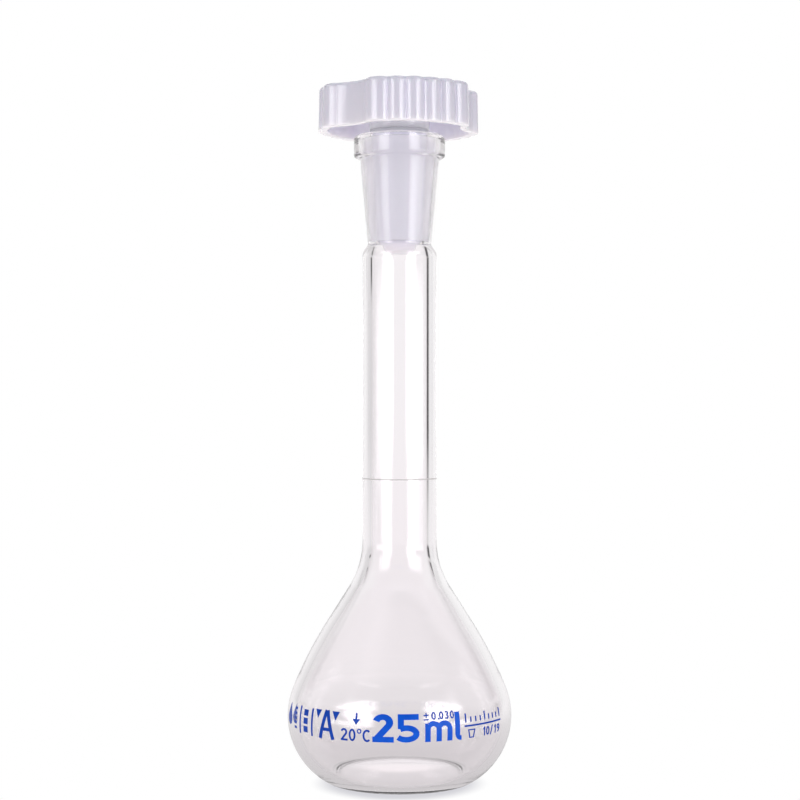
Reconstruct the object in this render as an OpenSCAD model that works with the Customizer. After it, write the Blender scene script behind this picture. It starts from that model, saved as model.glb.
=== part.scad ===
// Volumetric flask, 25 ml, with a 10/19 ground joint and a moulded plastic
// stopper. Origin: centre of the foot ring, on the surface it stands on.
// +Z runs up the neck. Azimuths are counted from the front (the -Y side)
// and are positive towards +X.

/* [Bulb] */
// Largest outside diameter of the bulb
belly_d = 39.84; // [39.4:0.02:40.2]
// Height of the largest diameter above the foot
belly_h = 11.68; // [11.4:0.02:12]
// Meridian radius of the belly, below and just above the largest diameter
belly_arc = 13.2; // [13:0.1:13.6]
// Glass thickness of the bulb
bulb_wall = 1.51; // [1.3:0.01:1.7]
// Slope of the surface normal on the straight shoulder cone, from horizontal
cone_slope = 32.45; // [32:0.05:33]
// Meridian radius of the slow curve between belly and cone
shoulder_arc = 75.5; // [70:0.5:80]
// Fillet between the shoulder cone and the neck
neck_fillet = 15.4; // [14.5:0.1:16]
// Inner radius of the flat foot ring
foot_in = 11.9; // [11.7:0.05:12]
// Steepness of the raised bottom where it leaves the foot ring
kick_angle = 12; // [10:1:16]
// Glass thickness of the raised bottom
bottom_wall = 1.2; // [1:0.05:1.4]

/* [Neck] */
// Outside diameter of the neck tube
neck_d = 13.24; // [13:0.04:13.4]
// Bore of the neck tube
neck_bore_d = 9.84; // [9.5:0.02:10]
// Height where the bulb ends and the plain neck tube starts
neck_z = 43.2; // [43:0.1:44]
// Height of the ring mark that limits the nominal volume
ring_z = 53.75; // [50:0.25:60]
// Width of the ring mark
ring_w = 0.24; // [0.2:0.02:0.4]

/* [Ground joint] */
// Height where the worked joint starts on top of the neck tube
joint_z = 91.2; // [90.8:0.1:91.4]
// Height of the rim
rim_z = 114.8; // [114.6:0.1:115]
// Diameter of the ground taper at the rim
ground_d = 10; // [10:0.1:10]
// Length of the ground taper (its cone is 1 in 10 on diameter)
ground_l = 19; // [18.5:0.1:19]
// Outside diameter of the reinforcing bead at the mouth
bead_d = 16.3; // [16:0.1:16.6]
// Height of the bead
bead_h = 4; // [3.8:0.1:4.4]

/* [Stopper] */
// Running clearance between the plug and the ground socket, on radius
plug_gap = 0.03; // [0.02:0.01:0.08]
// Wall thickness of the hollow plug
plug_wall = 1.2; // [1:0.1:1.4]
// Height of the underside of the grip above the foot
grip_z = 115.5; // [115.4:0.1:115.9]
// Height of the grip
grip_h = 7.7; // [7:0.1:8]
// Radius over the crests of the ribs
grip_r = 14.5; // [14:0.1:14.8]
// Radius of a single rib
rib_r = 2.1; // [2:0.1:2.4]
// Wall thickness of the grip
grip_wall = 1; // [0.9:0.1:1.2]
// Azimuth of the first lobe of the grip
lobe_az = 18; // [-60:1:60]
// Running clearance between the grip hub and the plug spigot, on radius
hub_gap = 0.05; // [0.03:0.01:0.1]

/* [Print] */
// Thickness of the fired enamel
ink_t = 0.06; // [0.05:0.01:0.1]
// Base line of the large figures above the foot
base_z = 10.3; // [9.8:0.1:10.6]
// Height of the large figures
big_h = 4.7; // [4.2:0.1:4.8]
// Stroke of the large figures
big_w = 0.95; // [0.8:0.05:1.05]
// Stroke of the small figures
small_w = 0.34; // [0.26:0.02:0.4]

/* [Hidden] */
$fn = 96;

glass_colour = [0.86, 0.88, 0.90, 0.40];
ink_colour = [0.04, 0.30, 0.80];
ring_colour = [0.48, 0.47, 0.48];
stopper_colour = [0.86, 0.85, 0.90];

// ---------------------------------------------------------------- helpers
function unit(angle) = [cos(angle), sin(angle)];
// points first to steps of an arc that is divided into equal steps
function oval_arc(centre, radii, start, end, steps, first = 0) =
    [for (i = [first:steps]) let (angle = start + (end - start) * i / steps)
        centre + [radii[0] * cos(angle), radii[1] * sin(angle)]];
function arc(centre, radius, start, end, steps, first = 0) =
    oval_arc(centre, [radius, radius], start, end, steps, first);
function reversed(points) = [for (i = [len(points) - 1:-1:0]) points[i]];
function direction(vector) = atan2(vector[1], vector[0]);
function hat(vector) = vector / norm(vector);
function left(vector) = [-vector[1], vector[0]];
// crossing of two circles that lies farther from the axis
function crossing(centre_a, radius_a, centre_b, radius_b) =
    let (span = norm(centre_b - centre_a),
         along = (centre_b - centre_a) / span,
         reach = (pow(radius_a, 2) - pow(radius_b, 2) + pow(span, 2)) / (2 * span),
         side = sqrt(pow(radius_a, 2) - pow(reach, 2)) * left(along),
         middle = centre_a + reach * along)
    side[0] > 0 ? middle + side : middle - side;

// mitred side step from point i of a path to the edge of its line
function edge_step(path, pen, i) =
    let (last = len(path) - 1,
         before = hat(path[max(i, 1)] - path[max(i, 1) - 1]),
         after = hat(path[min(i, last - 1) + 1] - path[min(i, last - 1)]),
         mitre = left(before) + left(after))
    mitre * (pen / 2) / (mitre * left(after));

// line of constant width along a path
module line(path, pen) {
    ids = [0:len(path) - 1];
    polygon(concat([for (i = ids) path[i] + edge_step(path, pen, i)],
                   reversed([for (i = ids) path[i] - edge_step(path, pen, i)])));
}

// ------------------------------------------------------------------- bulb
// Meridian points are [radius, height].
neck_r = neck_d / 2;
bore_r = neck_bore_d / 2;
belly_c = [belly_d / 2 - belly_arc, belly_h];
belly_end = 22.4;  // normal angle where the belly meets the slow curve
belly_steps = 22;
shoulder_c = belly_c + (belly_arc - shoulder_arc) * unit(belly_end);

// heel circle, tangent to the belly inside and to the foot plane
heel_r = 2.2;
heel_c = [belly_c[0] + sqrt(pow(belly_arc - heel_r, 2)
                            - pow(belly_h - heel_r, 2)), heel_r];
heel_angle = direction(heel_c - belly_c);

// belly from heel to slow curve, raised by a thickness
function belly_points(raise, first) =
    arc(belly_c, belly_arc + raise, heel_angle, belly_end, belly_steps, first);

// centre of the neck fillet, at a depth in the glass and for a tube radius
function fillet_c(depth, tube_r) =
    let (top = shoulder_c + (shoulder_arc - depth) * unit(cone_slope),
         cone_l = (top[0] - tube_r - neck_fillet * (1 - cos(cone_slope)))
                  / sin(cone_slope))
    top + cone_l * left(unit(cone_slope)) + neck_fillet * unit(cone_slope);

// slow curve, cone and neck fillet up to the neck tube
function shoulder_points(depth, tube_r) = concat(
    arc(shoulder_c, shoulder_arc - depth, belly_end, cone_slope, 6, 1),
    arc(fillet_c(depth, tube_r), neck_fillet, 180 + cone_slope, 180, 10),
    [[tube_r, neck_z]]);

// underside: a shallow dome tangent to a small inner heel
kick_heel = 1.6;
kick_arc = foot_in / sin(kick_angle) - kick_heel;
kick_c = [0, kick_heel - (kick_arc + kick_heel) * cos(kick_angle)];
under_points = concat(
    arc(kick_c, kick_arc, 90, 90 - kick_angle, 8),
    arc([foot_in, kick_heel], kick_heel, -90 - kick_angle, -90, 5, 1));

outer_points = concat(
    arc(heel_c, heel_r, -90, heel_angle, 6),
    belly_points(0, 1),
    shoulder_points(0, neck_r));

// inside: dome, fillet round the bottom, belly, shoulder
floor_fillet = 4;
floor_arc = kick_arc + bottom_wall;
inner_arc = belly_arc - bulb_wall;
floor_c = crossing(kick_c, floor_arc + floor_fillet,
                   belly_c, inner_arc - floor_fillet);
floor_end = direction(floor_c - kick_c);
inner_start = direction(floor_c - belly_c);
inner_points = concat(
    arc(kick_c, floor_arc, 90, floor_end, 8),
    arc(floor_c, floor_fillet, floor_end - 180, inner_start, 8, 1),
    arc(belly_c, inner_arc, inner_start, belly_end, 20, 1),
    shoulder_points(bulb_wall, bore_r));

module bulb() color(glass_colour)
    rotate_extrude()
        polygon(concat(under_points, outer_points, reversed(inner_points)));

// ---------------------------------------------------- neck and ring mark
module neck_tube() color(glass_colour)
    rotate_extrude()
        polygon([[bore_r, neck_z], [neck_r, neck_z],
                 [neck_r, joint_z], [bore_r, joint_z]]);

module ring_mark() color(ring_colour)
    rotate_extrude()
        translate([neck_r, ring_z - ring_w / 2]) square([ink_t, ring_w]);

// ----------------------------------------------------------- ground joint
ground_r = ground_d / 2;
ground_z = rim_z - ground_l;
small_r = ground_r - ground_l / 20;

// outside: the tube bends in to a waist, then a cone widens to the bead
bend_r = 2.6;
bend_turn = 42;
bend_c = [neck_r - bend_r, joint_z + 2];
waist_r = 1;
waist_c = bend_c + (bend_r + waist_r) * unit(bend_turn);
flare = 5.2;  // half angle of the widening cone
waist_end = waist_c + waist_r * [-cos(flare), sin(flare)];
bead_r = bead_d / 2;
bead_z = rim_z - bead_h;
under_bead_r = waist_end[0] + tan(flare) * (bead_z - waist_end[1]);
under_fillet = 0.35;
bead_low_r = 0.65;
bead_top_r = 0.7;
lip_r = 0.5;

// inside: the bore draws in below the taper with the same kind of bend
in_bend_r = 3;
in_waist_r = 1;
in_step = 0.02;  // radius allowance at the foot of the taper
in_turn = acos(1 - (bore_r - small_r - in_step) / (in_bend_r + in_waist_r));
in_bend_c = [bore_r - in_bend_r, joint_z + 1.7];
in_waist_c = in_bend_c + (in_bend_r + in_waist_r) * unit(in_turn);

socket_points = concat(
    [[bore_r, joint_z], [neck_r, joint_z]],
    arc(bend_c, bend_r, 0, bend_turn, 8),
    arc(waist_c, -waist_r, bend_turn, -flare, 8, 1),
    arc([under_bead_r - tan(flare) * under_fillet + under_fillet / cos(flare),
         bead_z - under_fillet], under_fillet, 180 - flare, 90, 4),
    arc([bead_r - bead_low_r, bead_z + bead_low_r], bead_low_r, -80, 0, 6),
    arc([bead_r - bead_top_r, rim_z - bead_top_r], bead_top_r, 0, 90, 6),
    arc([ground_r + lip_r, rim_z - lip_r], lip_r, 90, 180, 5),
    [[small_r, ground_z]],
    arc(in_waist_c, in_waist_r, 176, 180 + in_turn, 6),
    arc(in_bend_c, in_bend_r, in_turn, 0, 7, 1));

module joint_socket() color(glass_colour)
    rotate_extrude() polygon(socket_points);

// --------------------------------------------------------- print on bulb
ink_first = 6;  // belly point where the printable shell starts
press_start = 14;  // radius where pressed drawings start, inside the glass
press_l = 8;

// drawings cut down to a thin shell on the belly
module on_bulb() color(ink_colour) intersection() {
    rotate_extrude()
        polygon(concat(belly_points(0, ink_first),
                       reversed(belly_points(ink_t, ink_first))));
    union() children();
}

// a flat drawing pressed radially onto the bulb at azimuth az
module wrap(az, z)
    rotate([0, 0, az - 90]) translate([press_start, 0, z])
        rotate([90, 0, 90]) linear_extrude(height = press_l) children();

// a rectangle centred on x = 0, with its foot at the given height
module bar(width, height, foot = 0)
    translate([-width / 2, foot]) square([width, height]);

module oval_ring(centre, radii, pen, sides = 28) difference() {
    polygon(oval_arc(centre, radii, 0, 360, sides, 1));
    polygon(oval_arc(centre, radii - [pen, pen], 0, 360, sides, 1));
}

// Figures stand on their lower left corner. tall is the height, pen the
// stroke; other proportions are fractions of the height.
module figure_0(tall, pen)
    oval_ring([0.3, 0.5] * tall, [0.3, 0.5] * tall, pen);
module figure_1(tall, pen) {
    translate([0.3 * tall - pen, 0]) square([pen, tall]);
    line([[0, 0.72 * tall], [0.3 * tall - pen / 2, 0.96 * tall]], pen);
}
module figure_2(tall, pen) {
    line(concat(arc([0.3, 0.7] * tall, 0.3 * tall - pen / 2, 165, -38, 12),
                [[pen / 2, pen / 2]]), pen);
    square([0.62 * tall, pen]);
}
module figure_3(tall, pen) {
    line(arc([0.28, 0.74] * tall, 0.26 * tall - pen / 2, 150, -90, 12), pen);
    line(arc([0.28, 0.28] * tall, 0.28 * tall - pen / 2, 90, -150, 12), pen);
}
module figure_5(tall, pen, widen) {
    wide = tall * widen;
    translate([0.06 * wide, tall - pen]) square([0.54 * wide, pen]);
    translate([0.06 * wide, 0.48 * tall]) square([pen, 0.5 * tall]);
    line(oval_arc([0.28 * wide, 0.31 * tall],
                  [0.34 * wide - pen / 2, 0.31 * tall - pen / 2],
                  128, -145, 16), pen);
}
module figure_9(tall, pen) {
    oval_ring([0.29, 0.71] * tall, [0.29, 0.29] * tall, pen);
    line(concat([[0.58 * tall - pen / 2, 0.71 * tall]],
                oval_arc([0.1, 0.6] * tall,
                         [0.48 * tall - pen / 2, 0.6 * tall - pen / 2],
                         0, -72, 8)), pen);
}
module slash(tall, pen)
    line([[0, -0.06 * tall], [0.36 * tall, 1.06 * tall]], pen);

// small figures on one base line; places hold [azimuth, shift left, digit]
module figure_row(z, tall, pen, places)
    for (place = places)
        wrap(place[0], z) translate([-place[1], 0]) {
            if (place[2] == 0) figure_0(tall, pen);
            if (place[2] == 1) figure_1(tall, pen);
            if (place[2] == 2) figure_2(tall, pen);
            if (place[2] == 3) figure_3(tall, pen);
            if (place[2] == 9) figure_9(tall, pen);
        }

stem_az = 13.9;
stem_pitch = 5.7;
stem_h = 2.3;
first_stem_h = 3.1;
arch_r = 0.99;
arch_z = 2.05;
hook_r = 0.62;
hook_z = 0.95;
tall_stem_foot = 0.9;
module capacity_print() on_bulb() {
    wrap(-7.95, base_z) translate([-0.39 * big_h, 0])
        scale([1.25, 1]) figure_2(big_h, big_w);
    wrap(3.6, base_z) translate([-0.41 * big_h, 0])
        scale([1.1, 1]) figure_5(big_h, big_w, widen = 1.27);
    // three stems joined by two arches
    for (i = [0:2])
        wrap(stem_az + i * stem_pitch, base_z)
            bar(big_w, i == 0 ? first_stem_h : stem_h);
    for (i = [0:1])
        wrap(stem_az + (i + 0.5) * stem_pitch, base_z)
            line(arc([0, arch_z], arch_r, 180, 0, 10), big_w * 0.9);
    // tall stem with a hook at its foot
    wrap(29.6, base_z) {
        bar(big_w, big_h - tall_stem_foot, tall_stem_foot);
        line(arc([hook_r, hook_z], hook_r, 180, 285, 6), big_w * 0.85);
    }
}

tolerance_z = 13.95;
tolerance_h = 1.32;
tolerance_w = 0.25;
sign_w = 0.9;
sign_pen = 0.2;
point_w = tolerance_w * 1.15;
module tolerance_print() on_bulb() {
    // plus-minus sign
    wrap(13.2, 13.9) {
        bar(sign_w, sign_pen);
        bar(sign_w, sign_pen, 0.72);
        bar(sign_pen, 0.8, 0.42);
    }
    figure_row(tolerance_z, tolerance_h, tolerance_w,
               [[17, 0.4, 0], [21, 0.4, 0], [23.9, 0.4, 3], [26.8, 0.4, 0]]);
    // decimal point
    wrap(19.2, tolerance_z) square([point_w, point_w]);
}

temp_z = 10.25;
temp_h = 2.1;
arrow_half_w = 0.72;
module temperature_print() on_bulb() {
    // plain arrow pointing down to the figures below it
    wrap(-21.6, 13.05) {
        polygon([[-arrow_half_w, 0.95], [arrow_half_w, 0.95], [0, 0]]);
        bar(0.34, 1.05, 0.9);
    }
    figure_row(temp_z, temp_h, small_w, [[-28, 0.65, 2], [-23.6, 0.63, 0]]);
    // degree ring and C
    wrap(-19.9, 11.65) oval_ring([0, 0.35], [0.42, 0.42], 0.2, sides = 20);
    wrap(-16.2, temp_z)
        line(oval_arc([0.1, temp_h / 2],
                      [0.78 - small_w / 2, temp_h / 2 - small_w / 2],
                      48, 312, 18), small_w);
}

// triangles pointing down: [azimuth, half width, height]
class_triangles = [[-44.5, 0.68, 1.45], [-33.2, 0.75, 1.5]];
module class_print() on_bulb() {
    // letter A
    wrap(-38.7, 10.1) {
        for (side = [-1, 1])
            line([[side * 1.42, 0], [side * 0.1, 4.85]], 0.68);
        bar(2.3, 0.58, 1.35);
    }
    for (mark = class_triangles)
        wrap(mark[0], 14.9)
            polygon([[-mark[1], 0], [mark[1], 0], [0, -mark[2]]]);
}

size_z = 10.35;
size_h = 1.5;
divider_z = 12.3;
divider_az = [33.6, 61.2];
divider_reach = 30;  // well outside the bulb
module joint_size_print() on_bulb() {
    // row of plain ticks, every fourth one longer, over a dividing line
    for (i = [0:8])
        wrap(34.5 + i * 3.2, 13.05) bar(0.28, i % 4 == 0 ? 1.5 : 0.9);
    intersection() {
        rotate([0, 0, divider_az[0] - 90])
            rotate_extrude(angle = divider_az[1] - divider_az[0])
                square([divider_reach, divider_reach]);
        translate([0, 0, divider_z]) cylinder(h = 0.3, r = divider_reach);
    }
    // plain taper sign, then the taper size in figures
    wrap(38, size_z) difference() {
        polygon([[-0.5, 0], [0.5, 0], [0.8, 1.5], [-0.8, 1.5]]);
        polygon([[-0.3, 0.2], [0.3, 0.2], [0.54, 1.3], [-0.54, 1.3]]);
    }
    figure_row(size_z, size_h, 0.26,
               [[46.6, 0.2, 1], [49.3, 0.42, 0], [55.6, 0.2, 1], [58.6, 0.42, 9]]);
    wrap(52.4, size_z) translate([-0.27, 0]) slash(size_h, 0.24);
}

drop_r = 1.2;
module side_panel_print() on_bulb() {
    // two upright bars with three plain blocks between them
    for (az = [-59.5, -48.9])
        wrap(az, 10.15) bar(0.42, 4.7);
    for (i = [0:2])
        wrap(-54.2, 10.55 + i * 1.42) bar(1.24, 1.05);
    // column of short dashes
    for (i = [0:4])
        wrap(-64.8, 10.7 + i * 0.82) bar(0.9, 0.42);
    // plain drop
    wrap(-73.5, 10.9)
        polygon(concat(arc([0, drop_r], drop_r, 150, 390, 18), [[0, 3.8]]));
}

// ----------------------------------------------------------- stopper plug
grip_top = grip_z + grip_h;
grip_roof = 1.4;
plug_top = grip_z + 0.15;
plug_bottom = ground_z - 1.7;
plug_round = 2.2;
plug_floor = 1.4;
cavity_round = 0.9;
cavity_low_z = plug_bottom + 2.4;  // lower end of the tapered cavity wall
cavity_high_z = plug_top - 4;
spigot_r = 3.6;
spigot_wall = 1;
spigot_top = grip_top - grip_roof - 0.7;
spigot_chamfer = 0.3;
collar_r = 5.3;  // top of the flare between plug and grip
collar_chamfer = 0.12;

function plug_r(z) = ground_r - (rim_z - z) / 20 - plug_gap;

plug_points = concat(
    [[0, plug_bottom]],
    arc([plug_r(plug_bottom) - plug_round, plug_bottom + plug_round],
        plug_round, -90, 0, 8),
    [[plug_r(rim_z), rim_z], [plug_r(rim_z) + 0.02, rim_z + 0.2],
     [collar_r - collar_chamfer, plug_top - collar_chamfer],
     [collar_r, plug_top], [spigot_r, plug_top],
     [spigot_r, spigot_top - spigot_chamfer],
     [spigot_r - spigot_chamfer, spigot_top],
     [spigot_r - spigot_wall, spigot_top],
     [spigot_r - spigot_wall, plug_top - 2],
     [plug_r(cavity_high_z) - plug_wall, cavity_high_z],
     [plug_r(cavity_low_z) - plug_wall, cavity_low_z]],
    arc([plug_r(plug_bottom) - plug_wall - cavity_round,
         plug_bottom + plug_floor + cavity_round], cavity_round, 0, -90, 4),
    [[0, plug_bottom + plug_floor]]);

module stopper_plug() color(stopper_colour)
    rotate_extrude() polygon(plug_points);

// ----------------------------------------------------------- stopper grip
lobe_count = 3;
rib_count = 6;
rib_pitch = 360 / 27;
rib_span = (rib_count - 1) * rib_pitch;
core_r = grip_r - 1.3;
end_rib_turn = 1.9;  // degrees beyond the last regular rib
end_rib_r = 2.6;
flute_in = grip_r - 2.4;  // distance from the axis to a flute
flute_r = 8;
cavity_r = grip_r - 0.65 - grip_wall;
edge_chamfer = 0.3;
edge_round = 0.8;
edge_inset = 0.15;
dish_depth = 0.25;
below = 1;  // cutters start this far under the grip

function lobe_turn(k) = lobe_az - 90 + k * 360 / lobe_count;

// circles in the gaps between lobes, all about the flute centres
module flutes(radius)
    for (k = [0:lobe_count - 1])
        rotate(lobe_turn(k + 0.5))
            translate([flute_in + flute_r, 0]) circle(r = radius);

module rib(turn, radius)
    rotate(turn) translate([grip_r - radius, 0]) circle(r = radius);

// plan of the grip: three ribbed lobes parted by smooth finger flutes; the
// outermost rib of a lobe is a little wider than the others
module lobes() difference() {
    union() {
        circle(r = core_r);
        for (k = [0:lobe_count - 1]) {
            for (i = [0:rib_count - 1])
                rib(lobe_turn(k) - rib_span / 2 + i * rib_pitch, rib_r);
            for (side = [-1, 1])
                rib(lobe_turn(k) + side * (rib_span / 2 + end_rib_turn),
                    end_rib_r);
        }
    }
    flutes(flute_r);
}

// turned envelope with eased edges and a shallow dish in the top
module grip_envelope() rotate_extrude() polygon(concat(
    [[0, grip_z], [grip_r - edge_chamfer, grip_z],
     [grip_r, grip_z + edge_chamfer]],
    arc([grip_r - edge_inset - edge_round, grip_top - edge_round],
        edge_round, 0, 90, 6),
    [[6, grip_top], [5, grip_top - dish_depth], [0, grip_top - dish_depth]]));

module stopper_grip() color(stopper_colour) {
    // shell, open below
    difference() {
        intersection() {
            translate([0, 0, grip_z]) linear_extrude(height = grip_h) lobes();
            grip_envelope();
        }
        translate([0, 0, grip_z - below])
            linear_extrude(height = grip_h - grip_roof + below) difference() {
                circle(r = cavity_r);
                flutes(flute_r + grip_wall);
            }
    }
    // hub over the spigot, sunk 0.2 into the roof
    difference() {
        translate([0, 0, plug_top + hub_gap])
            cylinder(h = grip_top - grip_roof - plug_top - hub_gap + 0.2,
                     r1 = collar_r, r2 = collar_r + 0.3);
        translate([0, 0, grip_z - below])
            cylinder(h = spigot_top + hub_gap - grip_z + below,
                     r = spigot_r + hub_gap);
    }
}

bulb();
neck_tube();
joint_socket();
ring_mark();
capacity_print();
tolerance_print();
temperature_print();
class_print();
joint_size_print();
side_panel_print();
stopper_plug();
stopper_grip();
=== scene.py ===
"""A small glass volumetric flask with a hollow plastic stopper.

The flask stands on z = 0 with its axis on +Z: bulb, neck, ground socket, then the
stopper's tapered plug and ribbed grip. The camera looks along +Y, so -Y is the front
and +X the right. Sizes of the pieces are in mm and are scaled by MM as meshes are
built; the studio is in metres.
"""
import math
from functools import reduce

import bpy
import bmesh
import numpy as np
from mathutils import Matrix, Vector


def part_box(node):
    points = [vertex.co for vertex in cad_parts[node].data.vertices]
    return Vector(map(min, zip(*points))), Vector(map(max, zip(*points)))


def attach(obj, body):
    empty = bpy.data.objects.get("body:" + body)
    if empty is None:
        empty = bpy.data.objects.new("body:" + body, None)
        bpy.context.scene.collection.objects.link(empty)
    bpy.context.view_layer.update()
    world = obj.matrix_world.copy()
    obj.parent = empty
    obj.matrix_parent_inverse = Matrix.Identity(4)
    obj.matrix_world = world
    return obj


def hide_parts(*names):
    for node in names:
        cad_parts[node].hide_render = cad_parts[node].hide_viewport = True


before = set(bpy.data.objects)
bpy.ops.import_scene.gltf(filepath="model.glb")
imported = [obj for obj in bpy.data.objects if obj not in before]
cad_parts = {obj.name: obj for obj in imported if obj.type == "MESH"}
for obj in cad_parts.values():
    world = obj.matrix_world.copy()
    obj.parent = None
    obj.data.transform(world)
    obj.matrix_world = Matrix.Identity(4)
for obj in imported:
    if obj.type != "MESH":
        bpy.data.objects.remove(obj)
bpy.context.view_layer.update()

MM = 0.001


# ------------------------------------------------------------ mesh helpers
def mesh_object(name, verts, faces):
    """A smooth-shaded object in the scene, with its face normals made consistent."""
    mesh = bpy.data.meshes.new(name)
    mesh.from_pydata([tuple(float(c) for c in v) for v in verts], [], faces)
    mesh.validate()
    bm = bmesh.new()
    bm.from_mesh(mesh)
    bmesh.ops.remove_doubles(bm, verts=bm.verts, dist=1e-7)
    bmesh.ops.recalc_face_normals(bm, faces=bm.faces)
    bm.to_mesh(mesh)
    bm.free()
    mesh.polygons.foreach_set("use_smooth", [True] * len(mesh.polygons))
    mesh.update()
    obj = bpy.data.objects.new(name, mesh)
    bpy.context.scene.collection.objects.link(obj)
    return obj


def lathe(name, profile, segments):
    """Turns a meridian (r, z) in mm, which starts and ends on the axis, into
    a closed mesh in metres."""
    verts, rings = [], []
    for r, z in profile:
        if r < 1e-6:
            rings.append([len(verts)])
            verts.append((0, 0, z * MM))
        else:
            base = len(verts)
            for k in range(segments):
                a = 2 * math.pi * k / segments
                verts.append((r * math.cos(a) * MM, r * math.sin(a) * MM, z * MM))
            rings.append(list(range(base, base + segments)))
    faces = []
    for low, high in zip(rings[:-1], rings[1:]):
        if len(low) == 1 and len(high) == 1:
            continue
        for k in range(segments):
            k2 = (k + 1) % segments
            if len(low) == 1:
                faces.append((low[0], high[k2], high[k]))
            elif len(high) == 1:
                faces.append((low[k], low[k2], high[0]))
            else:
                faces.append((low[k], low[k2], high[k2], high[k]))
    return mesh_object(name, verts, faces)


# ----------------------------------------------- plane geometry, in degrees
def unit(angle):
    return np.array([math.cos(math.radians(angle)), math.sin(math.radians(angle))])


def angle_of(vector):
    return math.degrees(math.atan2(vector[1], vector[0]))


def arc(centre, radius, start, end, steps):
    centre = np.asarray(centre, float)
    return [centre + radius * unit(start + (end - start) * i / steps)
            for i in range(steps + 1)]


def crossing(centre_a, radius_a, centre_b, radius_b):
    """The crossing of two circles that lies farther from the axis."""
    gap = np.linalg.norm(centre_b - centre_a)
    along = (centre_b - centre_a) / gap
    foot = (radius_a * radius_a - radius_b * radius_b + gap * gap) / (2 * gap)
    height = math.sqrt(radius_a * radius_a - foot * foot)
    base = centre_a + foot * along
    left = np.array([-along[1], along[0]])
    return max(base + height * left, base - height * left, key=lambda p: p[0])


def rounded(corners, steps):
    """A polyline of (r, z, rounding); the two ends are not rounded."""
    points = [np.array(c[:2], float) for c in corners]
    out = [points[0]]
    for i in range(1, len(points) - 1):
        before, corner, after = points[i - 1:i + 2]
        back, ahead = before - corner, after - corner
        back_len, ahead_len = np.linalg.norm(back), np.linalg.norm(ahead)
        back, ahead = back / back_len, ahead / ahead_len
        half = math.acos(float(np.clip(back @ ahead, -1, 1))) / 2
        # the arc may use up at most half of either side
        cut = min(corners[i][2] / math.tan(half), 0.49 * back_len, 0.49 * ahead_len)
        radius = cut * math.tan(half)
        bisector = back + ahead
        bisector = bisector / np.linalg.norm(bisector)
        centre = corner + bisector * (radius / math.sin(half))
        start = math.atan2(*(corner + back * cut - centre)[::-1])
        end = math.atan2(*(corner + ahead * cut - centre)[::-1])
        turn = (end - start + math.pi) % (2 * math.pi) - math.pi
        for k in range(steps + 1):
            a = start + turn * k / steps
            out.append(centre + radius * np.array([math.cos(a), math.sin(a)]))
    out.append(points[-1])
    return out


# ------------------------------------------------- key sizes from the frame
bulb_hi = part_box("bulb")[1]
neck_lo, neck_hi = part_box("neck_tube")
socket_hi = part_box("joint_socket")[1]
ring_lo, ring_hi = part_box("ring_mark")
plug_lo, plug_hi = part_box("stopper_plug")
grip_lo, grip_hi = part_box("stopper_grip")

belly_r = round(bulb_hi.x / MM, 2)
neck_r = round(neck_hi.x / MM, 2)
neck_z = neck_lo.z / MM
joint_z = neck_hi.z / MM
rim_z = socket_hi.z / MM
bead_r = round(socket_hi.x / MM, 2)

# the box does not show the bore, so it is the neck's innermost vertex
neck_verts = np.array([v.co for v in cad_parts["neck_tube"].data.vertices],
                      float) / MM
bore_r = round(float(np.hypot(neck_verts[:, 0], neck_verts[:, 1]).min()), 2)

# ------------------------------------------------------------- flask sizes
bulb_wall, bottom_wall = 1.51, 1.2
belly_h, belly_arc = 11.68, 13.2        # height and radius of the belly arc
belly_end = 22.4                        # angle where the belly meets the shoulder
shoulder_arc = 75.5
cone_lean = 32.45                       # lean of the cone below the neck, off vertical
neck_fillet = 15.4
foot_r, foot_round = 11.9, 1.6          # inner edge of the foot ring
dome_angle = 12.0                       # half angle of the dome under the flask
heel_r = 2.2
floor_fillet = 4.0                      # inside, between bottom and belly
EMBED = 0.012                           # the print sinks this far into the glass
print_lo, print_hi = 4, 19              # heights of the print on the bulb
mark_z = 0.5 * (ring_lo.z + ring_hi.z) / MM
mark_fade = 9.0

# socket, outside
bend_r, bend_turn = 2.6, 42.0           # convex bend in from the neck
waist_r = 1.0                           # concave turn into the widening cone
flare_angle = 5.2                       # of the cone, off vertical
bead_height = 4.0
bead_fillet, bead_low, bead_high, mouth_round = 0.35, 0.65, 0.7, 0.5
# socket, inside
ground_r, ground_l = 5.0, 19.0          # mouth radius and length of the ground taper
TAPER = 20                              # radius grows 1 in 20
inner_bend, inner_waist = 3.0, 1.0
taper_step = 0.02                       # just below the ground taper
ground_z = rim_z - ground_l
small_r = ground_r - ground_l / TAPER

belly_c = np.array([belly_r - belly_arc, belly_h])
shoulder_c = belly_c + (belly_arc - shoulder_arc) * unit(belly_end)
heel_c = np.array([belly_c[0] + math.sqrt((belly_arc - heel_r) ** 2
                                          - (belly_h - heel_r) ** 2), heel_r])
dome_edge = np.array([foot_r - foot_round * math.sin(math.radians(dome_angle)),
                      foot_round * (1 - math.cos(math.radians(dome_angle)))])
dome_r = dome_edge[0] / math.sin(math.radians(dome_angle))
dome_c = np.array([0.0, dome_edge[1] - dome_r * math.cos(math.radians(dome_angle))])


def taper_r(z):
    return ground_r - (rim_z - z) / TAPER


# ------------------------------------------------------------ flask glass
def neck_fillet_arc(wall, tube_r):
    """The fillet from the cone, moved in by the wall, up into a tube."""
    sin_lean = math.sin(math.radians(cone_lean))
    cos_lean = math.cos(math.radians(cone_lean))
    cone_foot = shoulder_c + (shoulder_arc - wall) * unit(cone_lean)
    length = (cone_foot[0] - tube_r - neck_fillet * (1 - cos_lean)) / sin_lean
    cone_top = cone_foot + length * np.array([-sin_lean, cos_lean])
    return arc(cone_top + neck_fillet * unit(cone_lean), neck_fillet,
               180 + cone_lean, 180, 36)


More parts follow.
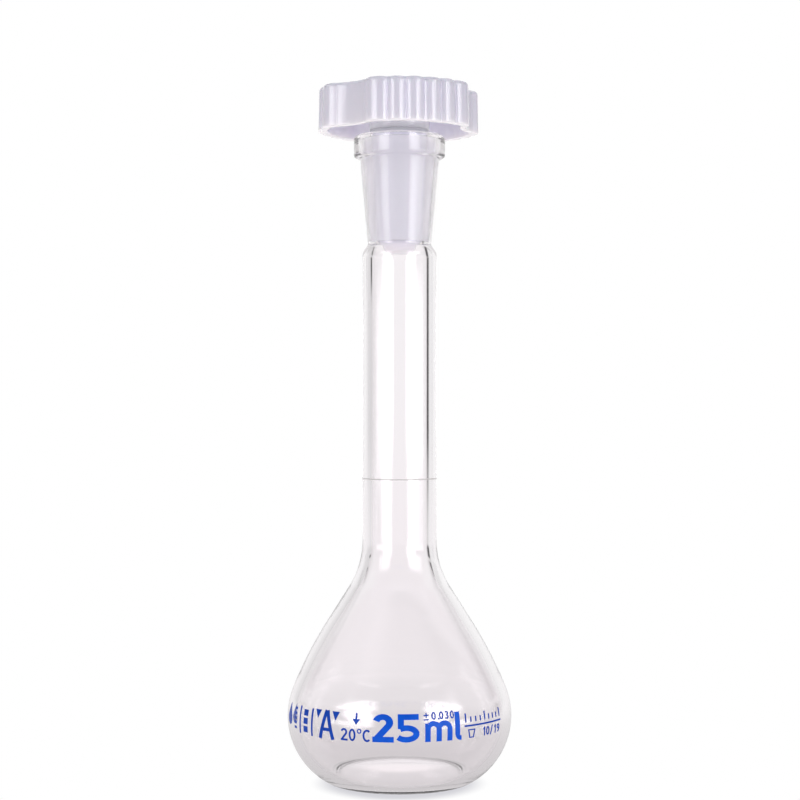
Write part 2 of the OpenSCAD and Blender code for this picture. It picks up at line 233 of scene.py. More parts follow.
def underside():
    points = arc(dome_c, dome_r, 90, 90 - dome_angle, 36)
    return points + arc([foot_r, foot_round], foot_round, -90 - dome_angle, -90, 8)[1:]


def outer_bulb():
    heel_end = angle_of(heel_c - belly_c)
    points = arc(heel_c, heel_r, -90, heel_end, 18)
    points += arc(belly_c, belly_arc, heel_end, belly_end, 90)[1:]
    points += arc(shoulder_c, shoulder_arc, belly_end, cone_lean, 24)[1:]
    points += neck_fillet_arc(0, neck_r)
    return [p + np.array([EMBED if print_lo < p[1] < print_hi else 0, 0])
            for p in points]


def neck_swell(z):
    """The neck stands proud by EMBED round the ring mark, fading out slowly."""
    t = min(1.0, max(0.0, 1 - abs(z - mark_z) / mark_fade))
    return EMBED * t * t * (3 - 2 * t)


def outer_neck():
    return [np.array([neck_r + neck_swell(z), z])
            for z in np.linspace(neck_z + 1, joint_z - 1, 48)]


def outer_socket():
    """Bend, waist, widening cone and bead, ending in the mouth."""
    bend_c = np.array([neck_r - bend_r, joint_z + 2.0])
    waist_c = bend_c + (bend_r + waist_r) * unit(bend_turn)
    points = arc(bend_c, bend_r, 0, bend_turn, 22)
    points += arc(waist_c, waist_r, 180 + bend_turn, 180 - flare_angle, 22)[1:]
    tan_flare = math.tan(math.radians(flare_angle))
    cos_flare = math.cos(math.radians(flare_angle))
    bead_z = rim_z - bead_height
    waist_end = points[-1]
    cone_top_r = waist_end[0] + tan_flare * (bead_z - waist_end[1])
    points += arc([cone_top_r - tan_flare * bead_fillet + bead_fillet / cos_flare,
                   bead_z - bead_fillet], bead_fillet, 180 - flare_angle, 90, 10)
    points += arc([bead_r - bead_low, bead_z + bead_low], bead_low, -80, 0, 18)
    points += arc([bead_r - bead_high, rim_z - bead_high], bead_high, 0, 90, 20)
    points += arc([ground_r + mouth_round, rim_z - mouth_round], mouth_round,
                  90, 180 - 2.9, 12)
    return points


def inner_socket():
    """Down the ground taper, then out into the neck's bore."""
    points = [np.array([taper_r(z), z])
              for z in np.linspace(rim_z - 0.8, ground_z + 0.4, 30)]
    turn = math.degrees(math.acos(
        1 - (bore_r - small_r - taper_step) / (inner_bend + inner_waist)))
    bend_c = np.array([bore_r - inner_bend, joint_z + 1.7])
    waist_c = bend_c + (inner_bend + inner_waist) * unit(turn)
    points += [np.array([small_r, ground_z]),
               np.array([small_r + 0.008, ground_z - 0.2])]
    points += arc(waist_c, inner_waist, 176, 180 + turn, 24)
    points += arc(bend_c, inner_bend, turn, 0, 30)[1:]
    return points


def inner_neck_and_bulb():
    fillet = neck_fillet_arc(bulb_wall, bore_r)
    bore = [np.array([bore_r, z])
            for z in np.linspace(joint_z - 1.0, fillet[-1][1] + 2, 24)]
    bottom_r = dome_r + bottom_wall
    inner_belly = belly_arc - bulb_wall
    corner_c = crossing(dome_c, bottom_r + floor_fillet,
                        belly_c, inner_belly - floor_fillet)
    bottom_end, belly_start = angle_of(corner_c - dome_c), angle_of(corner_c - belly_c)
    bulb = arc(dome_c, bottom_r, 90, bottom_end, 36)
    bulb += arc(corner_c, floor_fillet, bottom_end - 180, belly_start, 18)[1:]
    bulb += arc(belly_c, inner_belly, belly_start, belly_end, 80)[1:]
    bulb += arc(shoulder_c, shoulder_arc - bulb_wall, belly_end, cone_lean, 24)[1:]
    return bore + (bulb + fillet)[::-1]


glass = lathe("flask_glass",
              underside() + outer_bulb() + outer_neck() + outer_socket()
              + inner_socket() + inner_neck_and_bulb(), 224)
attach(glass, "flask")
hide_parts("bulb", "neck_tube", "joint_socket")

# ------------------------------------------------------------ stopper plug
plug_gap, plug_wall = 0.03, 1.2
plug_bottom = plug_lo.z / MM
plug_top = grip_lo.z / MM + 0.15
plug_round = 2.2
plug_floor = plug_bottom + 1.4
spigot_r, spigot_wall, spigot_top = 3.6, 1, plug_hi.z / MM
flare_r = 5.3                           # widest, under the grip


def plug_r(z):
    return taper_r(z) - plug_gap


def plug_profile():
    points = [np.array([0, plug_bottom])]
    points += arc([plug_r(plug_bottom) - plug_round, plug_bottom + plug_round],
                  plug_round, -90, -3, 16)
    points += [np.array([plug_r(z), z])
               for z in np.linspace(plug_bottom + 2.3, rim_z, 40)]
    # r, z, rounding: up over flare and spigot, then down inside the hollow
    corners = [
        (plug_r(rim_z), rim_z, 0),
        (plug_r(rim_z) + 0.02, rim_z + 0.2, 0.1),
        (flare_r, plug_top - 0.12, 0.06),
        (flare_r - 0.02, plug_top, 0.03),
        (spigot_r, plug_top, 0.15),
        (spigot_r, spigot_top, 0.3),
        (spigot_r - spigot_wall, spigot_top, 0.1),
        (spigot_r - spigot_wall, plug_top - 2, 0.4),
        (plug_r(plug_top - 4) - plug_wall, plug_top - 4, 0.4),
        (plug_r(plug_bottom + 2.4) - plug_wall, plug_bottom + 2.4, 0.4),
        (plug_r(plug_bottom) - plug_wall - 0.1, plug_floor, 0.7),
        (0, plug_floor, 0),
    ]
    return points + rounded(corners, 5)[1:]


plug = lathe("stopper_plug_body", plug_profile(), 160)
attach(plug, "plug")
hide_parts("stopper_plug")

# ------------------------------------------------------------ stopper grip
grip_z0, grip_z1 = grip_lo.z / MM, grip_hi.z / MM
grip_r = 14.5
rib_r, rib_count, rib_pitch = 2.1, 6, 360 / 27      # ribs on each of three lobes
end_rib_r, end_rib_step = 2.6, 1.9                  # wider rib past each end, degrees
flute_in, flute_r = 12.1, 8.0                       # hollows between the lobes
grip_wall, lobe_turn = 1.0, 18.0
bottom_round, top_round = 0.28, 0.78
top_dip = 0.25
ceiling_z, ceiling_round, cavity_draft = grip_z1 - 1.4, 0.8, 0.975
hub_z, hub_round = plug_top + 0.05, 0.6
hub_bore, bore_top = spigot_r + 0.05, spigot_top + 0.05

AROUND = 1296
TURNS = np.arange(AROUND) * 2 * np.pi / AROUND
DIRECTIONS = np.stack([np.cos(TURNS), np.sin(TURNS)], 1)
LOBES = [lobe_turn - 90 + k * 120 for k in range(3)]
FLUTES = [(flute_in + flute_r) * unit(lobe_turn - 90 + (k + 0.5) * 120)
          for k in range(3)]


def smooth_min(a, b, soft):
    h = np.clip(0.5 + 0.5 * (b - a) / soft, 0, 1)
    return b * (1 - h) + a * h - soft * h * (1 - h)


def smooth_max(a, b, soft):
    return -smooth_min(-a, -b, soft)


def distance(points, centre):
    return np.linalg.norm(points - centre, axis=-1)


def plan_distance(points):
    """Signed distance to the grip's plan: a disc with ribs, cut by the flutes."""
    d = np.linalg.norm(points, axis=-1) - (grip_r - 1.3)
    middle = (rib_count - 1) / 2
    ribs = [((i - middle) * rib_pitch, rib_r) for i in range(rib_count)]
    ribs += [(side * (middle * rib_pitch + end_rib_step), end_rib_r)
             for side in (-1, 1)]
    for lobe in LOBES:
        for step, radius in ribs:
            centre = (grip_r - radius) * unit(lobe + step)
            d = smooth_min(d, distance(points, centre) - radius, 0.10)
    for flute in FLUTES:
        d = smooth_max(d, flute_r - distance(points, flute), 0.20)
    return d


def cavity_distance(points):
    d = np.linalg.norm(points, axis=-1) - (grip_r - 0.65 - grip_wall)
    for flute in FLUTES:
        d = smooth_max(d, flute_r + grip_wall - distance(points, flute), 0.8)
    return d


def bisect(inside, low, high, steps):
    """The radius along each direction where inside(points) turns false."""
    for _ in range(steps):
        middle = (low + high) / 2
        ok = inside(DIRECTIONS * middle[:, None])
        low, high = np.where(ok, middle, low), np.where(ok, high, middle)
    return (low + high) / 2


def zero_radius(field, low):
    return bisect(lambda p: field(p) < 0.0,
                  np.full(AROUND, low), np.full(AROUND, 15.5), 30)


PLAN = zero_radius(plan_distance, 6.0)
EDGE = DIRECTIONS * PLAN[:, None]
CAVITY = zero_radius(cavity_distance, 4.0)


def inset(depth):
    """Radius along each direction of the plan moved in by depth."""
    if depth < 1e-6:
        return PLAN.copy()
    reach = 110                         # neighbouring edge points searched each way

    def deep_enough(points):
        nearest = np.full(AROUND, 1e9)
        for shift in range(-reach, reach + 1):
            edge = np.roll(EDGE, shift, axis=0)
            nearest = np.minimum(nearest, np.hypot(points[:, 0] - edge[:, 0],
                                                   points[:, 1] - edge[:, 1]))
        return nearest >= depth

    return bisect(deep_enough, PLAN - depth * 3.0 - 0.5, PLAN.copy(), 16)


def draft(z):
    return 1 - 0.0100 * (z - grip_z0) / (grip_z1 - grip_z0)


def quarter_turn(steps, first=0):
    """Sine and cosine at even steps from 0 to 90 degrees."""
    for k in range(first, steps + 1):
        t = math.radians(90 * k / steps)
        yield math.sin(t), math.cos(t)


# flat top: scale of the top edge, height over grip_z1
TOP_RINGS = [(0.93, 0), (0.80, 0), (0.56, -0.01), (0.50, -0.08),
             (0.45, -0.2), (0.40, -top_dip), (0.25, -top_dip), (0.10, -top_dip)]


def grip_outside():
    """Rings (radii, z) from the bottom rim up the side and over the top."""
    rings = [(inset(bottom_round * (1 - s)), grip_z0 + bottom_round * (1 - c))
             for s, c in quarter_turn(4)]
    rings += [(PLAN * draft(z), z)
              for z in np.linspace(grip_z0 + 1.0, grip_z1 - top_round - 0.5, 5)]
    for s, c in quarter_turn(8):
        z = grip_z1 - top_round + top_round * s
        rings.append((inset(top_round * (1 - c)) * draft(z), z))
    top_edge = rings[-1][0]
    # the top sinks a little inside a soft rim and its rings become circles
    for scale, rise in TOP_RINGS:
        mean = float(top_edge.mean()) * scale
        circle = min(1.0, max(0.0, (0.93 - scale) / 0.35))
        rings.append((top_edge * scale * (1 - circle) + mean * circle, grip_z1 + rise))
    return rings


def grip_inside():
    """Rings from the bottom rim up the cavity, round the hub and into its bore."""
    rings = [(CAVITY + bottom_round * (1 - s), grip_z0 + bottom_round * (1 - c))
             for s, c in quarter_turn(3)]
    rings += [(CAVITY * (1 - 0.004 * (z - grip_z0)), z)
              for z in np.linspace(grip_z0 + 1.0, ceiling_z - 1.0, 4)]
    rings += [(CAVITY * cavity_draft - ceiling_round * (1 - c),
               ceiling_z - ceiling_round + ceiling_round * s)
              for s, c in quarter_turn(5, first=1)]
    # r, z of the round hub
    hub = [(flare_r + 1.0, ceiling_z)]
    hub += [(flare_r + 0.9 - hub_round * s, ceiling_z - hub_round + hub_round * c)
            for s, c in quarter_turn(4, first=1)]
    hub += [(flare_r + 0.08, grip_z0 + 2.0),
            (flare_r, hub_z + 0.08), (flare_r - 0.08, hub_z),
            (hub_bore + 0.08, hub_z), (hub_bore, hub_z + 0.08),
            (hub_bore, bore_top - 0.1), (hub_bore - 0.1, bore_top),
            (0.6, bore_top)]
    return rings + [(np.full(AROUND, r), z) for r, z in hub]


def skin(rings, pole_z, start):
    """Vertices and faces of stacked rings closed by a pole on the axis."""
    verts, faces = [], []
    for radii, z in rings:
        verts += [(x, y, z * MM) for x, y in radii[:, None] * DIRECTIONS * MM]
    verts.append((0, 0, pole_z * MM))
    last = start + (len(rings) - 1) * AROUND
    for a in range(start, last, AROUND):
        b = a + AROUND
        for i in range(AROUND):
            i2 = (i + 1) % AROUND
            faces.append((a + i, a + i2, b + i2, b + i))
    faces += [(last + i, last + (i + 1) % AROUND, last + AROUND)
              for i in range(AROUND)]
    return verts, faces


def build_grip():
    outer_verts, faces = skin(grip_outside(), grip_z1 - top_dip, 0)
    start = len(outer_verts)
    inner_verts, inner_faces = skin(grip_inside(), bore_top, start)
    for i in range(AROUND):
        i2 = (i + 1) % AROUND
        faces.append((i, i2, start + i2, start + i))
    # the inside faces the other way
    faces += [face[:1] + face[:0:-1] for face in inner_faces]
    return mesh_object("stopper_grip_shell", outer_verts + inner_verts, faces)


grip = build_grip()
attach(grip, "grip")
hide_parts("stopper_grip")


# ---------------------------------------------------------- shader helpers
class Graph:
    """Adds nodes to an emptied shader tree; an input takes a value or a socket."""

    def __init__(self, tree):
        self.tree = tree
        tree.nodes.clear()

    def node(self, kind, inputs=None, **settings):
        added = self.tree.nodes.new("ShaderNode" + kind)
        for key, value in settings.items():
            setattr(added, key, value)
        for key, value in (inputs or {}).items():
            socket = added.inputs[key]
            if isinstance(value, bpy.types.NodeSocket):
                self.tree.links.new(value, socket)
            elif socket.type == "RGBA":
                socket.default_value = (*value, 1)
            else:
                socket.default_value = value
        return added

    def coords(self, origin=None):
        """Object coordinates, of another object if one is given."""
        return self.node("TexCoord", object=origin).outputs["Object"]

    def split(self, vector):
        return self.node("SeparateXYZ", {0: vector}).outputs

    def math(self, operation, *values):
        return self.node("Math", dict(enumerate(values)), operation=operation).outputs[0]

    def times(self, *factors):
        return reduce(lambda a, b: self.math("MULTIPLY", a, b), factors)

    def hypot(self, x, y):
        return self.math("SQRT", self.math("ADD", self.times(x, x), self.times(y, y)))

    def noise(self, coord, scale, detail, rough):
        return self.node("TexNoise", {"Scale": scale, "Detail": detail,
                                      "Roughness": rough, "Vector": coord}).outputs["Fac"]

    def ramp(self, value, from_min, from_max, to_min, to_max):
        """Smooth step from one range to the other."""
        return self.node("MapRange", {
            "From Min": from_min, "From Max": from_max, "To Min": to_min,
            "To Max": to_max, "Value": value},
            interpolation_type="SMOOTHSTEP").outputs["Result"]

    def window(self, value, low, high, soft_low, soft_high):
        """1 between low and high, fading to 0 over the soft widths inside them."""
        return self.times(self.ramp(value, low, low + soft_low, 0.0, 1.0),
                          self.ramp(value, high - soft_high, high, 1.0, 0.0))

    def mix(self, factor, a, b, **settings):
        """Colour mix: inputs 6 and 7 are its two colours."""
        return self.node("Mix", {0: factor, 6: a, 7: b}, data_type="RGBA",
                         **settings).outputs[2]

    def mix_shader(self, factor, a, b):
        return self.node("MixShader", {0: factor, 1: a, 2: b}).outputs[0]

    def bump(self, strength, height):
        return self.node("Bump", {"Strength": strength, "Distance": 1.0,
                                  "Height": height}).outputs[0]

    def tones(self, position, stops):
        """Colour ramp through (position, colour) stops."""
        added = self.node("ValToRGB", {0: position})
        band = added.color_ramp
        band.interpolation = "LINEAR"
        while len(band.elements) > 1:
            band.elements.remove(band.elements[0])
        band.elements[0].position = stops[0][0]
        band.elements[0].color = (*stops[0][1], 1)
        for place, colour in stops[1:]:
            band.elements.new(place).color = (*colour, 1)
        return added.outputs[0]


def new_material(name):
    material = bpy.data.materials.new(name)
    material.use_nodes = True
    return material, Graph(material.node_tree)


def assign(obj, material):
    obj.data.materials.clear()
    obj.data.materials.append(material)


# --------------------------------------------------------------- materials
def glass_material():
    """Clear glass with a frosted zone on the ground taper of the socket."""
    frost = 0.55                        # share of matt scatter on the ground zone
    frost_edge = (0.42, 0.60)           # facing range over which the scatter fades in
    material, g = new_material("borosilicate_glass")
    obj = g.coords()
    x, y, z = g.split(obj)
    # ground zone: inside the taper, from its small end to just under the rim
    taper = g.math("ADD", g.times(g.math("SUBTRACT", z, rim_z * MM), 1 / TAPER),
                   (ground_r + 0.12) * MM)
    inside = g.ramp(g.math("SUBTRACT", g.hypot(x, y), taper),
                    -0.00002, 0.00002, 1.0, 0.0)
    low = g.ramp(z, (ground_z - 0.05) * MM, (ground_z + 0.25) * MM, 0.0, 1.0)
    high = g.ramp(z, (rim_z - 0.75) * MM, (rim_z - 0.45) * MM, 1.0, 0.0)
    ground = g.times(low, high, inside)
    grain = g.noise(obj, scale=2600.0, detail=2.0, rough=0.6)
    grain_rough = g.ramp(grain, 0.3, 0.7, 0.34, 0.50)
    # float mix: inputs 2 and 3 are its two values
    rough = g.node("Mix", {0: ground, 2: 0.0, 3: grain_rough},
                   data_type="FLOAT").outputs[0]
    # slow ripple of hand-worked glass, fine tooth on the ground zone (metres)
    ripple = g.noise(obj, scale=55.0, detail=2.0, rough=0.4)
    tooth = g.noise(obj, scale=9000.0, detail=1.0, rough=0.5)
    height = g.math("ADD", g.times(ripple, 0.00004), g.times(tooth, ground, 0.00002))
    clear = g.node("BsdfPrincipled", {
        "Base Color": g.mix(ground, (0.979, 0.960, 0.971), (0.94, 0.94, 0.965)),
        "Roughness": rough,
        "Normal": g.bump(0.5, height),
        "Transmission Weight": 1.0,
        "IOR": 1.473})
    # the ground surface also scatters, where it is seen face on
    matt = g.node("BsdfDiffuse", {
        "Color": g.mix(grain, (0.90, 0.90, 0.93), (0.96, 0.955, 0.98))})
    geometry = g.node("NewGeometry").outputs
    dot = g.node("VectorMath", {0: geometry["Incoming"], 1: geometry["Normal"]},
                 operation="DOT_PRODUCT").outputs["Value"]
    facing = g.ramp(g.math("ABSOLUTE", dot), *frost_edge, 0.0, 1.0)
    surface = g.mix_shader(g.times(ground, facing, frost),
                           clear.outputs[0], matt.outputs[0])
    g.node("OutputMaterial", {"Surface": surface})
    return material


def plastic_material():
    """Milky, slightly cloudy plastic."""
    material, g = new_material("natural_polyethylene")
    obj = g.coords()
    cloud = g.noise(obj, scale=160.0, detail=3.0, rough=0.55)
    fine = g.noise(obj, scale=1400.0, detail=2.0, rough=0.6)
    height = g.math("ADD", g.times(fine, 0.00001), g.times(cloud, 0.00005))
    plastic = g.node("BsdfPrincipled", {
        "Base Color": g.mix(cloud, (0.71, 0.71, 0.82), (0.77, 0.77, 0.88)),
        "Roughness": g.ramp(fine, 0.25, 0.75, 0.05, 0.11),
        "Normal": g.bump(0.25, height),
        "IOR": 1.51,
        "Specular IOR Level": 0.62,
        "Subsurface Weight": 0.8,
        "Subsurface Radius": (1.0, 0.88, 0.94),
        "Subsurface Scale": 0.003})
    g.node("OutputMaterial", {"Surface": plastic.outputs[0]})
    return material


def enamel_material(name, deep, light, rough=0.32, cover=1.0):
    """Fired print, mottled between two colours; cover below 1 makes it a worn film."""
    material, g = new_material(name)
    obj = g.coords()
    mottle = g.noise(obj, scale=900.0, detail=4.0, rough=0.65)
    fine = g.noise(obj, scale=6000.0, detail=2.0, rough=0.5)
    surface = g.node("BsdfPrincipled", {
        "Base Color": g.mix(g.ramp(mottle, 0.3, 0.75, 0.0, 1.0), deep, light),
        "Roughness": g.ramp(fine, 0.2, 0.8, rough - 0.07, rough + 0.1),
        "Normal": g.bump(0.4, g.times(fine, 0.00001)),
        "IOR": 1.52,
        "Specular IOR Level": 0.10}).outputs[0]
    if cover < 1.0:
        # only the front of the outer skin shows, and the glass shows through it
        x, y, _ = g.split(obj)
        skin_only = g.math("GREATER_THAN", g.hypot(x, y), (neck_r + 0.03) * MM)
        front = g.math("SUBTRACT", 1.0, g.node("NewGeometry").outputs["Backfacing"])
        surface = g.mix_shader(g.times(skin_only, front, cover),
                               g.node("BsdfTransparent").outputs[0], surface)
    g.node("OutputMaterial", {"Surface": surface})
    return material


assign(glass, glass_material())
plastic = plastic_material()
assign(plug, plastic)
assign(grip, plastic)
blue_large = enamel_material("blue_enamel", deep=(0.001, 0.095, 0.72),
                             light=(0.002, 0.13, 0.84))
blue_fine = enamel_material("blue_enamel_fine", deep=(0.001, 0.050, 0.44),
                            light=(0.002, 0.075, 0.56))
grey_film = enamel_material("grey_enamel", deep=(0.62, 0.61, 0.62),
                            light=(0.72, 0.70, 0.71), rough=0.4, cover=0.80)
for name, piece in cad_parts.items():
    if name.endswith("_print"):
        assign(piece, blue_large if name == "capacity_print" else blue_fine)
    elif name == "ring_mark":
        assign(piece, grey_film)

# ---------------------------------------------------------- camera and rig
scene = bpy.context.scene
camera_data = bpy.data.cameras.new("camera")
camera = bpy.data.objects.new("camera", camera_data)
scene.collection.objects.link(camera)
camera.location = (0.00009, -0.3214, 0.0677)
camera.rotation_euler = (math.radians(90), 0, 0)
camera_data.lens = 81.0
camera_data.sensor_width = 36.0
camera_data.clip_start = 0.01
camera_data.clip_end = 20
scene.camera = camera

# the lamps and the surround keep their place relative to the camera, as when
# the object is turned on a table in front of a fixed studio
rig = bpy.data.objects.new("studio_rig", None)
scene.collection.objects.link(rig)
follow = rig.constraints.new("COPY_ROTATION")
follow.target = camera
follow.use_x = False
follow.use_y = False
follow.use_z = True

# ------------------------------------------------------------------- lamps
# azimuth is 0 towards the camera, 90 to the right and 180 behind the object
LAMP_TINT = (0.885, 0.955, 1.17)
LAMP_SIDE, LAMP_TOP = 0.90, 2.7         # radiance


def lamp(name, azimuth, elevation, reach, width, height, radiance, colour=LAMP_TINT):
    """An area lamp for the matt surfaces only; clear glass and highlights see
    the soft boxes painted in the surround."""
    light = bpy.data.lights.new(name, "AREA")
    light.shape = "RECTANGLE"
    light.size, light.size_y = width, height
    light.energy = radiance * math.pi * width * height
    light.color = colour
    obj = bpy.data.objects.new(name, light)
    scene.collection.objects.link(obj)
    a, e = math.radians(azimuth), math.radians(elevation)
    outward = Vector((math.sin(a) * math.cos(e), -math.cos(a) * math.cos(e),
                      math.sin(e)))
    obj.location = outward * reach
    obj.rotation_mode = "QUATERNION"
    obj.rotation_quaternion = outward.to_track_quat("Z", "Y")
    obj.parent = rig
    obj.visible_camera = False
    obj.visible_glossy = False
    obj.visible_transmission = False


lamp("soft_left", azimuth=-48, elevation=14, reach=0.70, width=0.45, height=0.60,
     radiance=LAMP_SIDE)
lamp("soft_right", azimuth=50, elevation=14, reach=0.70, width=0.45, height=0.60,
     radiance=LAMP_SIDE * 1.22)
lamp("soft_top", azimuth=0, elevation=84, reach=0.80, width=0.60, height=0.60,
     radiance=LAMP_TOP, colour=(1.0, 0.985, 1.0))
lamp("soft_back", azimuth=172, elevation=26, reach=0.80, width=0.70, height=0.50,
     radiance=LAMP_SIDE * 1.1)

# ---------------------------------------------------------------- surround
# azimuth, brightness, warmth
SURROUND = [
    (-180, 1.0, 0.0), (-168, 0.98, 0.0), (-156, 0.88, 0.01), (-144, 0.72, 0.01),
    (-130, 0.70, 0.01), (-116, 0.72, 0.01), (-96, 0.76, 0.01), (-40, 0.66, 0.02),
    (0, 0.62, 0.03), (40, 0.66, 0.02), (96, 0.78, 0.01), (114, 0.72, 0.02),
    (118, 0.03, 0.15), (128, 0.03, 0.15), (132, 0.80, 0.01), (150, 0.90, 0.0),
    (165, 0.98, 0.0), (180, 1.0, 0.0)]
TABLE = [
    (-180, 0.95, 0.02), (-160, 0.93, 0.02), (-130, 0.80, 0.01), (-100, 0.84, 0.01),
    (0, 0.90, 0.02), (100, 0.86, 0.01), (120, 0.62, 0.01), (134, 0.88, 0.01),
    (160, 0.94, 0.02), (180, 0.95, 0.02)]
# soft boxes: azimuth then elevation, each (from, to, soft edges), and power
BOXES = [
    ((-58, -23, 11, 10), (-3, 18, 3, 8), 5.4),
    ((21, 56, 10, 11), (-3, 18, 3, 8), 6.0),
    ((-67, -29, 9, 8), (6, 34, 8, 14), 4.0),
    ((27, 74, 9, 12), (6, 34, 8, 14), 4.6),
    ((-82, -26, 12, 10), (-4, 5, 3, 3), 3.8),
    ((24, 84, 10, 12), (-4, 5, 3, 3), 4.8),
    ((-66, -30, 16, 12), (-26, 1, 10, 3), 3.7),
    ((27, 68, 14, 14), (-26, 1, 10, 3), 5.4),
    ((28, 86, 14, 18), (-9, 1, 4, 3), 2.8)]
# tones for light that has already met a matt surface
INSIDE_SIDE, INSIDE_FRONT = (0.74, 0.73, 0.78), (1.34, 1.32, 1.40)
BOX_DIM = 0.14                          # share of the boxes left for that light
BOX_TINT = (1.0, 0.985, 1.0)


def grey(brightness, warmth):
    return (brightness, brightness * (1 - warmth), brightness * (1 - 0.5 * warmth))


def build_world():
    world = bpy.data.worlds.new("studio")
    scene.world = world
    world.use_nodes = True
    world.cycles_visibility.diffuse = False
    g = Graph(world.node_tree)
    direction = g.node("VectorMath", {0: g.coords(rig)}, operation="NORMALIZE")
    x, y, z = g.split(direction.outputs[0])
    azimuth = g.times(g.math("ARCTAN2", x, g.times(y, -1.0)), 180 / math.pi)
    elevation = g.times(g.math("ARCSINE", z), 180 / math.pi)
    around = g.math("ADD", g.times(azimuth, 1 / 360), 0.5)

    def band(table):
        return g.tones(around, [((a + 180) / 360, grey(v, w)) for a, v, w in table])

    # dark strip on the left, at two ranges of elevation
    left_dark = g.times(g.window(azimuth, -129, -118, 3, 3),
                        g.math("ADD", g.window(elevation, 2.8, 5.6, 1.4, 0.5),
                               g.window(elevation, 11.5, 30.0, 1.5, 6.0)))
    tone = g.mix(left_dark, band(SURROUND), (0.03, 0.03, 0.03))
    # the dark strip on the right is lifted between them
    right_fade = g.times(g.window(azimuth, 112, 134, 2, 2),
                         g.window(elevation, 5.0, 9.0, 0.8, 1.0))
    tone = g.mix(right_fade, tone, (0.66, 0.65, 0.65))
    # overhead an even soft white; below the horizon the white table goes on
    tone = g.mix(g.ramp(elevation, 36.0, 62.0, 0.0, 1.0), tone, (0.85, 0.85, 0.87))
    tone = g.mix(g.ramp(elevation, -4.2, -0.8, 1.0, 0.0), tone, band(TABLE))
    # painted shade: a slightly greyer patch low on the table straight behind the bulb
    behind = g.math("MAXIMUM", g.ramp(azimuth, 168, 178, 0.0, 1.0),
                    g.ramp(azimuth, -180, -177, 1.0, 0.0))
    shade_behind = g.times(behind, g.window(elevation, -14.0, -5.4, 2.0, 1.0), 0.085)
    tone = g.mix(shade_behind, tone, (0.0, 0.0, 0.0))

    path = g.node("LightPath").outputs
    first = g.math("LESS_THAN", path["Diffuse Depth"], 0.5)
    dimmer = g.math("ADD", g.times(first, 1 - BOX_DIM), BOX_DIM)
    boxes = [g.times(g.window(azimuth, *across), g.window(elevation, *up), power)
             for across, up, power in BOXES]
    light = g.times(reduce(lambda a, b: g.math("MAXIMUM", a, b), boxes), dimmer)
    ahead = g.ramp(y, -0.9, 0.3, 1.0, 0.0)
    tone = g.mix(first, g.mix(ahead, INSIDE_SIDE, INSIDE_FRONT), tone)
    tinted = g.node("CombineColor", {i: g.times(light, share)
                                     for i, share in enumerate(BOX_TINT)})
    total = g.mix(1.0, tone, tinted.outputs[0], blend_type="ADD")
    # the camera itself sees plain white
    surface = g.mix_shader(path["Is Camera Ray"],
                           g.node("Background", {"Color": total}).outputs[0],
                           g.node("Background", {"Color": (1, 1, 1)}).outputs[0])
    g.node("OutputWorld", {"Surface": surface})


build_world()

# ------------------------------------------------------------------- floor
FLOOR_SIZE, FLOOR_CELLS = 8, 24
FLOOR_REACH = 400                       # mm, the far end of the tone table
# painted shade: the table darkens towards the foot for rays reflected or refracted on
# their way; distance from the axis in mm, brightness, warmth
FLOOR_SHADE_TONE = [(0, 0.70, 0.03), (10, 0.68, 0.03), (12.5, 0.60, 0.03), (16, 0.64, 0.03),
              (26, 0.68, 0.03), (60, 0.76, 0.02), (90, 0.84, 0.015),
              (160, 0.91, 0.01), (300, 0.95, 0.01), (400, 0.95, 0.01)]
FLOOR_FADE = (0.060, 0.200)             # where it clears for sharp rays
FLOOR_DIFFUSE = (1.35, 1.27, 1.17)      # tone for light off matt surfaces
SHADOW_EDGE, SHADOW_SHIFT = (0.0110, 0.0162), 0.003     # shift towards the camera
GLOW_Y, GLOW_HALF = 0.0055, (0.0092, 0.0062)


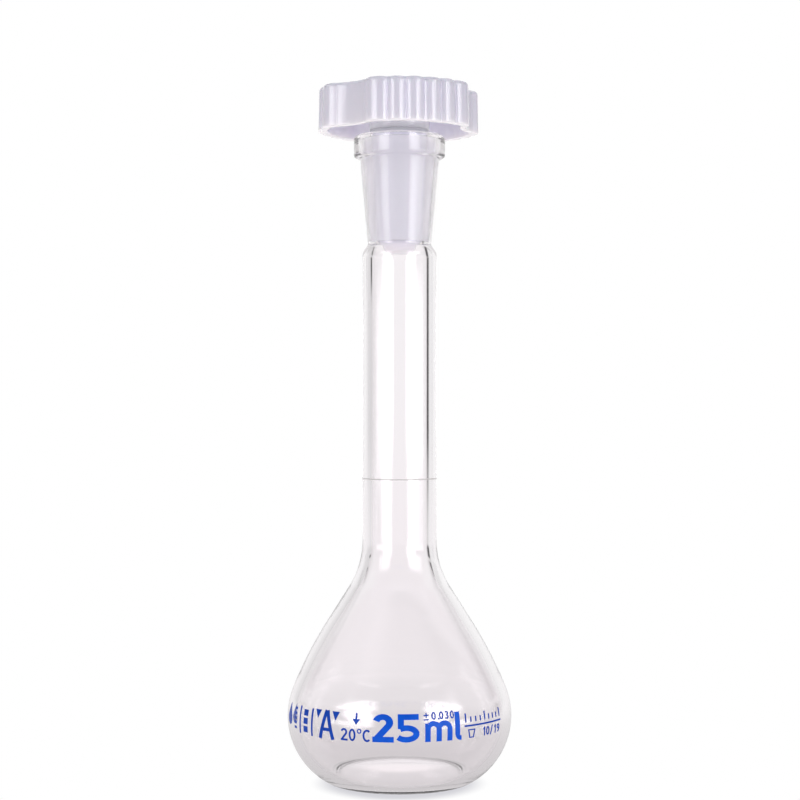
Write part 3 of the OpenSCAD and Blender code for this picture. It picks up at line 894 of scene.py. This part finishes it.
def floor_material():
    """A pale table, white to the camera except right under the flask."""
    material, g = new_material("pale_floor")
    x, y, _ = g.split(g.coords())
    radius = g.hypot(x, y)
    # contact shadow: a narrow soft rim round the foot
    x, y, _ = g.split(g.coords(rig))
    shadow_r = g.hypot(x, g.math("ADD", y, SHADOW_SHIFT))
    shade = g.ramp(shadow_r, *SHADOW_EDGE, 0.0, 1.0)
    seen = g.mix(shade, (0.665, 0.66, 0.70), (1.0, 1.0, 1.0))
    # painted shade round the foot, for rays that are neither the camera's nor bounced off
    # matt surfaces
    tone = g.tones(g.times(radius, 1 / 0.4),
                   [(r / FLOOR_REACH, grey(v, w)) for r, v, w in FLOOR_SHADE_TONE])
    # light gathered by the flask on the table behind the middle of the foot
    glow_r = g.hypot(g.times(x, 1 / GLOW_HALF[0]),
                     g.times(g.math("SUBTRACT", y, GLOW_Y), 1 / GLOW_HALF[1]))
    tone = g.mix(g.ramp(glow_r, 0.45, 1.1, 1.0, 0.0), tone, (1.02, 0.97, 0.98))
    path = g.node("LightPath").outputs
    later = g.math("GREATER_THAN", path["Diffuse Depth"], 0.5)
    colour = g.mix(later, tone, FLOOR_DIFFUSE)
    colour = g.mix(path["Is Camera Ray"], colour, seen)
    # away from the flask, reflected and refracted rays see the surround instead
    gone = g.times(g.math("SUBTRACT", 1.0, path["Is Camera Ray"]),
                   g.math("SUBTRACT", 1.0, path["Is Diffuse Ray"]),
                   g.ramp(radius, *FLOOR_FADE, 0.0, 1.0))
    surface = g.mix_shader(gone, g.node("Emission", {"Color": colour}).outputs[0],
                           g.node("BsdfTransparent").outputs[0])
    g.node("OutputMaterial", {"Surface": surface})
    return material


def build_floor():
    material = floor_material()
    row = FLOOR_CELLS + 1
    verts = [((i / FLOOR_CELLS - 0.5) * FLOOR_SIZE,
              (j / FLOOR_CELLS - 0.5) * FLOOR_SIZE, 0.0)
             for j in range(row) for i in range(row)]
    corners = [j * row + i for j in range(FLOOR_CELLS) for i in range(FLOOR_CELLS)]
    obj = mesh_object("floor", verts, [(a, a + 1, a + row + 1, a + row)
                                       for a in corners])
    if obj.data.polygons[0].normal.z < 0:
        obj.data.flip_normals()
    assign(obj, material)
    return obj


floor = build_floor()

# ------------------------------------------------------------------ render
scene.view_settings.view_transform = "Standard"
scene.view_settings.look = "None"
scene.view_settings.exposure = 0.0
scene.view_settings.gamma = 1.0
cycles = scene.cycles
cycles.max_bounces = 24
cycles.transmission_bounces = 24
cycles.glossy_bounces = 8
cycles.diffuse_bounces = 4
cycles.transparent_max_bounces = 12
cycles.sample_clamp_indirect = 8.0
cycles.blur_glossy = 0.2

bpy.context.view_layer.update()
